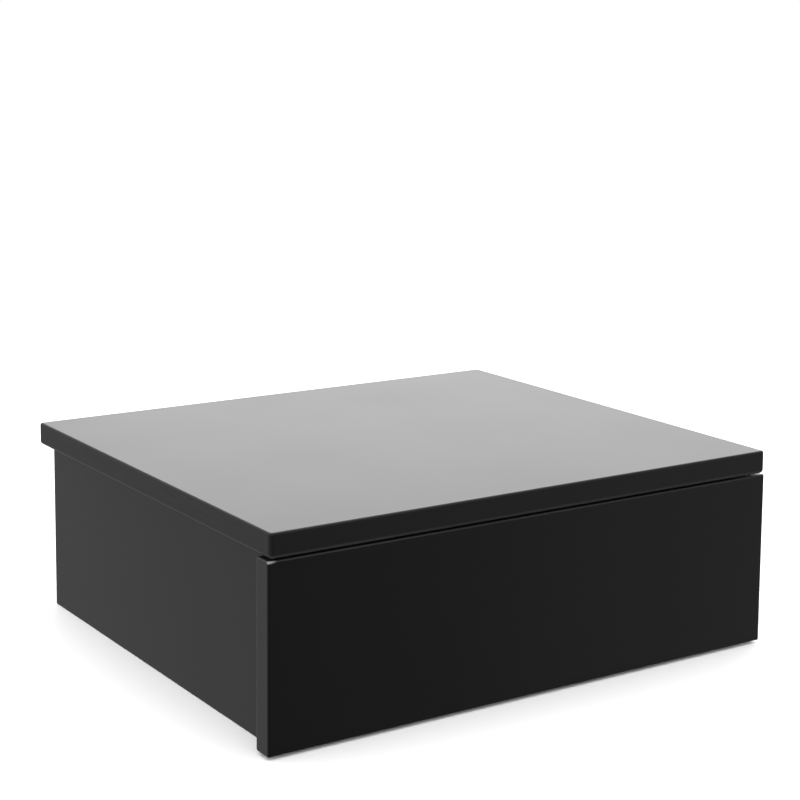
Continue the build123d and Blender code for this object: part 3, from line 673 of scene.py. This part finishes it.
def bolt_tree():
    """A cam bolt: a waisted head for the cam, a neck, a smooth shank, and a thread for the other board."""
    tree, start = new_tree("cam_bolt", ("Length", *BOLT_SIZES, "Pitch", "Thread Depth"))
    spine, depth = spindle(tree, start, steps_per_turn=6)
    # head: widest half way down, seven tenths of that at its two faces
    share = add_node(tree, "ShaderNodeMath", {"operation": "DIVIDE"}, {0: depth, 1: start["Head Length"]})
    fold = add_node(
        tree, "ShaderNodeMath", {"operation": "PINGPONG", 1: 0.5}, {0: share.outputs["Value"]}
    )
    bulge = add_node(
        tree,
        "ShaderNodeMapRange",
        {"From Max": 0.5, "To Min": 0.7, "To Max": 1.0},
        {"Value": fold.outputs["Value"]},
    )
    head = add_node(
        tree,
        "ShaderNodeMath",
        {"operation": "MULTIPLY"},
        {0: bulge.outputs["Result"], 1: start["Head Radius"]},
    )
    # neck, then a 1 mm cone up to the shank
    cone_end = add_node(tree, "ShaderNodeMath", {"operation": "ADD", 1: 1.0 * MM}, {0: start["Neck End"]})
    neck = add_node(
        tree,
        "ShaderNodeMapRange",
        links={
            "Value": depth,
            "From Min": start["Neck End"],
            "From Max": cone_end.outputs["Value"],
            "To Min": start["Neck Radius"],
            "To Max": start["Shank Radius"],
        },
    )
    # thread's end: a 1.5 mm cone to two fifths of its radius
    to_go = add_node(tree, "ShaderNodeMath", {"operation": "SUBTRACT"}, {0: start["Length"], 1: depth})
    tip = add_node(
        tree,
        "ShaderNodeMapRange",
        {"From Max": 1.5 * MM, "To Min": 0.4, "To Max": 1.0},
        {"Value": to_go.outputs["Value"]},
    )
    screw = add_node(
        tree,
        "ShaderNodeMath",
        {"operation": "MULTIPLY"},
        {0: tip.outputs["Result"], 1: start["Thread Radius"]},
    )
    past_head = add_node(
        tree, "ShaderNodeMath", {"operation": "GREATER_THAN"}, {0: depth, 1: start["Head Length"]}
    )
    past_shank = add_node(
        tree, "ShaderNodeMath", {"operation": "GREATER_THAN"}, {0: depth, 1: start["Shank End"]}
    )
    upper = add_node(
        tree,
        "ShaderNodeMix",
        {"data_type": "FLOAT"},
        {0: past_head.outputs["Value"], 2: head.outputs["Value"], 3: neck.outputs["Result"]},
    )
    radius = add_node(
        tree,
        "ShaderNodeMix",
        {"data_type": "FLOAT"},
        {0: past_shank.outputs["Value"], 2: upper.outputs[0], 3: screw.outputs["Value"]},
    )
    skin = turn_on_lathe(tree, spine, radius.outputs[0], sides=16)
    finish_tree(tree, start, thread(tree, start, skin, depth, start["Shank End"]))
    return tree


def screw_tree():
    """A countersunk wood screw: a head cone, a helical thread that runs out at the point, a cross recess."""
    tree, start = new_tree(
        "wood_screw", ("Length", "Shank Radius", "Head Radius", "Pitch", "Thread Depth")
    )
    spine, depth = spindle(tree, start, steps_per_turn=10)
    # head: a short lip, then a cone at 45 degrees
    past_lip = add_node(tree, "ShaderNodeMath", {"operation": "SUBTRACT", 1: SCREW_LIP}, {0: depth})
    below = add_node(
        tree, "ShaderNodeMath", {"operation": "MAXIMUM", 1: 0.0}, {0: past_lip.outputs["Value"]}
    )
    cone = add_node(
        tree,
        "ShaderNodeMath",
        {"operation": "SUBTRACT"},
        {0: start["Head Radius"], 1: below.outputs["Value"]},
    )
    # shank: full radius, then a straight taper to the point
    taper = add_node(
        tree, "ShaderNodeMath", {"operation": "MULTIPLY", 1: SCREW_TAPER}, {0: start["Shank Radius"]}
    )
    to_go = add_node(tree, "ShaderNodeMath", {"operation": "SUBTRACT"}, {0: start["Length"], 1: depth})
    share = add_node(
        tree,
        "ShaderNodeMapRange",
        {"To Min": SCREW_POINT, "To Max": 1.0},
        {"Value": to_go.outputs["Value"], "From Max": taper.outputs["Value"]},
    )
    core = add_node(
        tree,
        "ShaderNodeMath",
        {"operation": "MULTIPLY"},
        {0: start["Shank Radius"], 1: share.outputs["Result"]},
    )
    radius = add_node(
        tree,
        "ShaderNodeMath",
        {"operation": "MAXIMUM"},
        {0: cone.outputs["Value"], 1: core.outputs["Value"]},
    )
    skin = turn_on_lathe(tree, spine, radius.outputs["Value"], sides=20)
    under_head = add_node(
        tree,
        "ShaderNodeMath",
        {"operation": "SUBTRACT"},
        {0: start["Head Radius"], 1: start["Shank Radius"]},
    )
    first = add_node(
        tree, "ShaderNodeMath", {"operation": "ADD", 1: SCREW_NECK}, {0: under_head.outputs["Value"]}
    )
    threaded = thread(tree, start, skin, depth, first.outputs["Value"])
    # cross recess: two bars cut into the head, the second turned a quarter
    length, width, height = RECESS
    bars = []
    for sides in ((length, width, height), (width, length, height)):
        size = add_node(
            tree, "ShaderNodeVectorMath", {"operation": "SCALE", 0: sides}, {"Scale": start["Head Radius"]}
        )
        bars.append(add_node(tree, "GeometryNodeMeshCube", links={"Size": size.outputs["Vector"]}))
    cut = add_node(
        tree,
        "GeometryNodeMeshBoolean",
        {"operation": "DIFFERENCE", "solver": "EXACT"},
        {"Mesh 1": threaded},
    )
    for bar in bars:
        tree.links.new(bar.outputs["Mesh"], cut.inputs["Mesh 2"])
    finish_tree(tree, start, cut.outputs["Mesh"])
    return tree


def dowel_tree():
    """A fluted dowel with chamfered ends, centred on its point."""
    tree, start = new_tree("fluted_dowel", ("Length", "Radius", "Flute Depth", "Chamfer"), ("Flutes",))
    half = add_node(tree, "ShaderNodeMath", {"operation": "MULTIPLY", 1: 0.5}, {0: start["Length"]})
    minus = add_node(tree, "ShaderNodeMath", {"operation": "MULTIPLY", 1: -0.5}, {0: start["Length"]})
    top = add_node(tree, "ShaderNodeCombineXYZ", links={"Z": half.outputs["Value"]})
    foot = add_node(tree, "ShaderNodeCombineXYZ", links={"Z": minus.outputs["Value"]})
    line = add_node(
        tree,
        "GeometryNodeCurvePrimitiveLine",
        links={"Start": foot.outputs["Vector"], "End": top.outputs["Vector"]},
    )
    spine = add_node(
        tree, "GeometryNodeResampleCurve", {"Count": DOWEL_RINGS}, {"Curve": line.outputs["Curve"]}
    )
    place = add_node(tree, "GeometryNodeInputPosition").outputs["Position"]
    up = add_node(tree, "ShaderNodeSeparateXYZ", links={"Vector": place}).outputs["Z"]
    away = add_node(tree, "ShaderNodeMath", {"operation": "ABSOLUTE"}, {0: up})
    inset = add_node(
        tree,
        "ShaderNodeMath",
        {"operation": "SUBTRACT"},
        {0: half.outputs["Value"], 1: away.outputs["Value"]},
    )
    narrow = add_node(
        tree, "ShaderNodeMath", {"operation": "SUBTRACT"}, {0: start["Radius"], 1: start["Chamfer"]}
    )
    radius = add_node(
        tree,
        "ShaderNodeMapRange",
        links={
            "Value": inset.outputs["Value"],
            "From Max": start["Chamfer"],
            "To Min": narrow.outputs["Value"],
            "To Max": start["Radius"],
        },
    )
    inner = add_node(
        tree, "ShaderNodeMath", {"operation": "SUBTRACT", 0: 1.0}, {1: start["Flute Depth"]}
    )
    fluted = add_node(
        tree,
        "GeometryNodeCurveStar",
        {"Outer Radius": 1.0},
        {"Points": start["Flutes"], "Inner Radius": inner.outputs["Value"]},
    )
    skin = add_node(
        tree,
        "GeometryNodeCurveToMesh",
        {"Fill Caps": True},
        {
            "Curve": spine.outputs["Curve"],
            "Profile Curve": fluted.outputs["Curve"],
            "Scale": radius.outputs["Result"],
        },
    )
    finish_tree(tree, start, skin.outputs["Mesh"])
    return tree


def grow(name, tree, points, into, values):
    """A plain mesh of what tree makes on points. values give its inputs by name."""
    mesh = bpy.data.meshes.new(f"{name}_points")
    mesh.from_pydata(points, [], [])
    direction = mesh.attributes.new("into", "FLOAT_VECTOR", "POINT")
    for item, vector in zip(direction.data, into):
        item.vector = vector
    piece = bpy.data.objects.new(name, mesh)
    bpy.context.scene.collection.objects.link(piece)
    modifier = piece.modifiers.new("grow", "NODES")
    modifier.node_group = tree
    for item in tree.interface.items_tree:
        if item.item_type == "SOCKET" and item.in_out == "INPUT" and item.name in values:
            modifier[item.identifier] = values[item.name]
    graph = bpy.context.evaluated_depsgraph_get()
    made = bpy.data.meshes.new_from_object(piece.evaluated_get(graph))
    piece.modifiers.remove(modifier)
    piece.data = made
    made.name = name
    if not made.polygons:
        raise RuntimeError(f"{name} came out empty")
    if "into" in made.attributes:
        made.attributes.remove(made.attributes["into"])
    return piece


def stand_for(piece, node, body):
    """piece takes the place of a CAD node, and rides on its body."""
    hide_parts(node)
    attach(piece, body)


# ---------------------------------------------------------------- properties
class BEDSIDE_PG_lacquer(bpy.types.PropertyGroup):
    """The black lacquer"""

    colour: FloatVectorProperty(
        name="Faces", description="Lacquer on broad faces", subtype="COLOR", size=4, default=linear("#080808")
    )
    # colour of the painted highlight along the arrises
    arris_highlight_colour: FloatVectorProperty(
        name="Highlight", description="Where hands rub it", subtype="COLOR", size=4, default=linear("#262627")
    )
    roughness: FloatProperty(
        name="Sheen", description="0 is full gloss and 1 is dead matt", subtype="FACTOR", default=0.36
    )
    gloss: FloatProperty(name="Index", description="Refractive index of the lacquer", default=1.52)
    peel_size: FloatProperty(
        name="Peel", description="Width of the spray's dimples", unit="LENGTH", default=1.6 * MM
    )
    film_size: FloatProperty(
        name="Film", description="Width of slow changes in the film", unit="LENGTH", default=90 * MM
    )
    line_width: FloatProperty(
        name="Sanding lines", description="Width of a sanding line", unit="LENGTH", default=0.9 * MM
    )
    line_length: FloatProperty(
        name="Line length", description="Length of a sanding line", unit="LENGTH", default=28 * MM
    )
    # height of the painted glint on the drawer front's top left corner
    glint_size: FloatProperty(
        name="Glint patch", description="Its height on the front's corner", unit="LENGTH", default=1.6 * MM
    )


class BEDSIDE_PG_fittings(bpy.types.PropertyGroup):
    """Screws, cam bolts and dowels"""

    thread_depth: FloatProperty(
        name="Thread", description="Thread depth as a share of the radius", subtype="FACTOR", default=0.28
    )
    bolt_pitch: FloatProperty(
        name="Bolt pitch", description="One turn of a cam bolt's thread", unit="LENGTH", default=1.6 * MM
    )
    flutes: IntProperty(name="Flutes", description="Grooves round a dowel", default=18, min=3)
    flute_depth: FloatProperty(
        name="Flute depth", description="Groove depth as a share of the radius", subtype="FACTOR", default=0.1
    )
    chamfer: FloatProperty(
        name="Chamfer", description="Chamfer at a dowel's ends", unit="LENGTH", default=1.0 * MM
    )


class BEDSIDE_PG_stage(bpy.types.PropertyGroup):
    """Floor, lights and camera"""

    floor_size: FloatProperty(name="Floor", description="Width of the floor", unit="LENGTH", default=12.0)
    fill: FloatProperty(name="Fill", description="Even light from all round", default=1.65, min=0)
    room_dark: FloatProperty(
        name="Room, front", description="Brightness of the room's dark end in the lacquer", default=0.0
    )
    room_light: FloatProperty(
        name="Room, back", description="Brightness of the room's light end in the lacquer", default=0.44
    )
    ceiling: FloatProperty(name="Ceiling", description="What the ceiling adds in the lacquer", default=0.5)
    window: FloatProperty(name="Window", description="What a low window at the right adds", default=0.4)
    backdrop: FloatProperty(name="Backdrop", description="Brightness of the light behind", default=2.0)
    overhead: FloatProperty(name="Overhead", description="Brightness of the light above", default=0.9)
    lens: FloatProperty(name="Lens", description="Focal length", unit="CAMERA", default=85.32)


# ---------------------------------------------------------------- stage
def light_panel(name, bearing, distance, height, size, glow):
    """A soft panel of light that faces the object. glow is the brightness of its face, 1 being white."""
    bearing = radians(bearing)
    light = bpy.data.lights.new(name, "AREA")
    light.shape = "RECTANGLE"
    light.size, light.size_y = size
    light.energy = glow * pi * size[0] * size[1]
    panel = bpy.data.objects.new(name, light)
    bpy.context.scene.collection.objects.link(panel)
    panel.location = CENTRE + Vector((sin(bearing) * distance, cos(bearing) * distance, height))
    panel.rotation_euler = (CENTRE - panel.location).to_track_quat("-Z", "Y").to_euler()
    panel.visible_camera = False


def make_world(settings):
    """White to the camera and an even fill on the floor. In the lacquer's reflections the room is light
    low down behind the object and overhead, and dark in front of it."""
    world = bpy.data.worlds.new("studio")
    bpy.context.scene.world = world
    world.use_nodes = True
    tree = world.node_tree
    tree.nodes.clear()
    ray = add_node(tree, "ShaderNodeLightPath").outputs
    way = add_node(tree, "ShaderNodeTexCoord").outputs["Generated"]
    # lightest low behind the object, and dark from 136 degrees away from there
    bright_side = Vector((-0.35, 0.88, -0.32)).normalized()
    towards = add_node(
        tree, "ShaderNodeVectorMath", {"operation": "DOT_PRODUCT", 1: bright_side}, {0: way}
    )
    room = add_node(
        tree,
        "ShaderNodeMapRange",
        {"From Min": -0.72, "To Min": settings.room_dark, "To Max": settings.room_light},
        {"Value": towards.outputs["Value"]},
    )
    # the ceiling starts 3 degrees above the horizon and is full from 37 degrees up
    up = add_node(tree, "ShaderNodeSeparateXYZ", links={"Vector": way}).outputs["Z"]
    ceiling = add_node(
        tree,
        "ShaderNodeMapRange",
        {"From Min": 0.05, "From Max": 0.6, "To Max": settings.ceiling},
        {"Value": up},
    )
    # the window reaches 32 degrees each way from its middle
    window_side = Vector((0.85, -0.45, -0.28)).normalized()
    aside = add_node(
        tree, "ShaderNodeVectorMath", {"operation": "DOT_PRODUCT", 1: window_side}, {0: way}
    )
    window = add_node(
        tree,
        "ShaderNodeMapRange",
        {"From Min": 0.85, "To Max": settings.window},
        {"Value": aside.outputs["Value"]},
    )
    shell = add_node(
        tree,
        "ShaderNodeMath",
        {"operation": "ADD"},
        {0: room.outputs["Result"], 1: ceiling.outputs["Result"]},
    )
    whole = add_node(
        tree, "ShaderNodeMath", {"operation": "ADD"}, {0: shell.outputs["Value"], 1: window.outputs["Result"]}
    )
    lit = add_node(
        tree,
        "ShaderNodeMix",
        {"data_type": "FLOAT", 2: settings.fill},
        {0: ray["Is Glossy Ray"], 3: whole.outputs["Value"]},
    )
    seen = add_node(
        tree, "ShaderNodeMix", {"data_type": "FLOAT", 3: 1.0}, {0: ray["Is Camera Ray"], 2: lit.outputs[0]}
    )
    background = add_node(
        tree, "ShaderNodeBackground", {"Color": (1, 1, 1, 1)}, {"Strength": seen.outputs[0]}
    )
    add_node(tree, "ShaderNodeOutputWorld", links={"Surface": background.outputs["Background"]})


def make_floor(settings):
    """A plain pale floor at the lower edge of the sides."""
    half = settings.floor_size / 2
    mesh = bpy.data.meshes.new("floor")
    corners = [(-half, -half, LOW.z), (half, -half, LOW.z), (half, half, LOW.z), (-half, half, LOW.z)]
    mesh.from_pydata(corners, [], [(0, 1, 2, 3)])
    floor = bpy.data.objects.new("floor", mesh)
    bpy.context.scene.collection.objects.link(floor)
    material = new_material("pale_floor", linear("#f7f7f7"), 0.9)[0]
    mesh.materials.append(material)
    floor.visible_glossy = False
    floor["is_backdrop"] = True


def make_camera(settings):
    """A long lens at the front left, a little above the top, and tilted down less than a plain view
    would be: a small downward shift of the lens keeps the uprights nearly parallel."""
    bearing, distance, rise = radians(33.21), 3.335 * SPAN, 1.131 * SPAN
    heading, tilt, roll = radians(33.384), radians(7.969), radians(0.475)
    data = bpy.data.cameras.new("camera")
    data.lens = settings.lens
    data.sensor_width = 36.0
    data.shift_y = -0.17
    data.clip_start, data.clip_end = 0.05, 60.0
    camera = bpy.data.objects.new("camera", data)
    bpy.context.scene.collection.objects.link(camera)
    place = Vector((-sin(bearing) * distance, -cos(bearing) * distance, rise))
    ahead = Vector((sin(heading) * cos(tilt), cos(heading) * cos(tilt), -sin(tilt)))
    level = Vector((cos(heading), -sin(heading), 0))
    above = level.cross(ahead)
    right = level * cos(roll) + above * sin(roll)
    upward = above * cos(roll) - level * sin(roll)
    camera.matrix_world = Matrix.Translation(place) @ Matrix((right, upward, -ahead)).transposed().to_4x4()
    bpy.context.scene.camera = camera


# ---------------------------------------------------------------- operators
class BEDSIDE_OT_lacquered_boards(bpy.types.Operator):
    """Black lacquer on the top, sides, back and drawer front"""

    bl_idname = "bedside.lacquered_boards"
    bl_label = "Lacquered boards"

    def execute(self, context):
        settings = context.scene.bedside_lacquer
        for name, (*finish, boards) in LACQUERED.items():
            material = make_lacquer(name, *finish, settings)
            dress(boards, material)
            if "drawer_front" in boards:
                low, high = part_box("drawer_front")
                # a painted glint on the drawer front's top left corner
                paint_corner_glint(material, (low[0], low[1], high[2]), settings.glint_size)
        return {"FINISHED"}


class BEDSIDE_OT_drawer_boards(bpy.types.Operator):
    """Foil on the drawer box, and hardboard in both bottoms"""

    bl_idname = "bedside.drawer_boards"
    bl_label = "Drawer box and bottoms"

    def execute(self, context):
        dress(FOIL_BOARDS, make_foil())
        dress(HARDBOARDS, make_hardboard())
        return {"FINISHED"}


class BEDSIDE_OT_runners(bpy.types.Operator):
    """Coated rails, nylon rollers and their plated pins"""

    bl_idname = "bedside.runners"
    bl_label = "Runners"

    def execute(self, context):
        dress(RAILS, make_rail_steel())
        dress(ROLLERS, make_nylon())
        plated = make_plated_steel("zinc_plated_steel", "#c3c8cc", "#cfccc0", 0.32)
        dress(PINS + ("wall_plates",), plated)
        dress(("closing_bumpers",), make_bumper_rubber())
        return {"FINISHED"}


class BEDSIDE_OT_cam_fittings(bpy.types.Operator):
    """Die-cast cams, and threaded bolts in place of the plain ones"""

    bl_idname = "bedside.cam_fittings"
    bl_label = "Cam fittings"

    def execute(self, context):
        dress(CAM_LOCKS, make_die_cast_zinc())
        settings = context.scene.bedside_fittings
        tree = bolt_tree()
        steel = make_plated_steel("bright_bolt_steel", "#bfc4c9", "#d2cdbd", 0.28)
        for node, body in CAM_BOLTS.items():
            heads, into, length = fasteners(node)[:3]
            values = {
                **BOLT_SIZES,
                "Length": length,
                "Pitch": settings.bolt_pitch,
                "Thread Depth": settings.thread_depth,
                "Material": steel,
            }
            stand_for(grow(f"threaded_{node}", tree, heads, into, values), node, body)
        return {"FINISHED"}


class BEDSIDE_OT_screws(bpy.types.Operator):
    """Threaded screws in place of the plain ones"""

    bl_idname = "bedside.screws"
    bl_label = "Screws"

    def execute(self, context):
        settings = context.scene.bedside_fittings
        tree = screw_tree()
        steel = make_plated_steel("yellow_zinc_steel", "#c9c4b0", "#d8c68e", 0.3)
        for node, (body, shank, pitch) in SCREWS.items():
            heads, into, length, radius = fasteners(node)
            values = {
                "Length": length,
                "Shank Radius": shank * MM,
                "Head Radius": radius,
                "Pitch": pitch * MM,
                "Thread Depth": settings.thread_depth,
                "Material": steel,
            }
            stand_for(grow(f"threaded_{node}", tree, heads, into, values), node, body)
        return {"FINISHED"}


class BEDSIDE_OT_dowels(bpy.types.Operator):
    """Fluted beech dowels in place of the smooth ones"""

    bl_idname = "bedside.dowels"
    bl_label = "Dowels"

    def execute(self, context):
        settings = context.scene.bedside_fittings
        tree = dowel_tree()
        for node, (body, grain_axis) in DOWELS.items():
            starts, into, length, radius = fasteners(node)
            middles = [point + way * length / 2 for point, way in zip(starts, into)]
            values = {
                "Length": length,
                "Radius": radius,
                "Flutes": settings.flutes,
                "Flute Depth": settings.flute_depth,
                "Chamfer": settings.chamfer,
                "Material": make_beech(node, grain_axis),
            }
            stand_for(grow(f"fluted_{node}", tree, middles, into, values), node, body)
        return {"FINISHED"}


class BEDSIDE_OT_stage(bpy.types.Operator):
    """Floor, soft lights and camera"""

    bl_idname = "bedside.stage"
    bl_label = "Stage"

    def execute(self, context):
        settings = context.scene.bedside_stage
        context.scene.view_settings.view_transform = "Standard"
        make_world(settings)
        make_floor(settings)
        light_panel("light_behind", *PANEL_BEHIND, settings.backdrop)
        light_panel("light_above", *PANEL_ABOVE, settings.overhead)
        make_camera(settings)
        return {"FINISHED"}


class BEDSIDE_PT_sidebar(bpy.types.Panel):
    """Everything that makes the bedside drawer"""

    bl_idname = "BEDSIDE_PT_sidebar"
    bl_label = "Bedside drawer"
    bl_space_type = "VIEW_3D"
    bl_region_type = "UI"
    bl_category = "Bedside"

    def draw(self, context):
        for name in ("bedside_lacquer", "bedside_fittings", "bedside_stage"):
            group = getattr(context.scene, name)
            box = self.layout.box()
            for key in group.bl_rna.properties.keys():
                if key not in ("rna_type", "name"):
                    box.prop(group, key)
        for operator in OPERATORS:
            self.layout.operator(operator.bl_idname)


GROUPS = (BEDSIDE_PG_lacquer, BEDSIDE_PG_fittings, BEDSIDE_PG_stage)
OPERATORS = (
    BEDSIDE_OT_lacquered_boards,
    BEDSIDE_OT_drawer_boards,
    BEDSIDE_OT_runners,
    BEDSIDE_OT_cam_fittings,
    BEDSIDE_OT_screws,
    BEDSIDE_OT_dowels,
    BEDSIDE_OT_stage,
)


def register():
    for cls in GROUPS + OPERATORS + (BEDSIDE_PT_sidebar,):
        bpy.utils.register_class(cls)
    bpy.types.Scene.bedside_lacquer = PointerProperty(type=BEDSIDE_PG_lacquer)
    bpy.types.Scene.bedside_fittings = PointerProperty(type=BEDSIDE_PG_fittings)
    bpy.types.Scene.bedside_stage = PointerProperty(type=BEDSIDE_PG_stage)


def unregister():
    del bpy.types.Scene.bedside_stage
    del bpy.types.Scene.bedside_fittings
    del bpy.types.Scene.bedside_lacquer
    for cls in reversed(GROUPS + OPERATORS + (BEDSIDE_PT_sidebar,)):
        bpy.utils.unregister_class(cls)


def main():
    register()
    bpy.ops.bedside.lacquered_boards()
    bpy.ops.bedside.drawer_boards()
    bpy.ops.bedside.runners()
    bpy.ops.bedside.cam_fittings()
    bpy.ops.bedside.screws()
    bpy.ops.bedside.dowels()
    bpy.ops.bedside.stage()


if __name__ == "__main__":
    main()
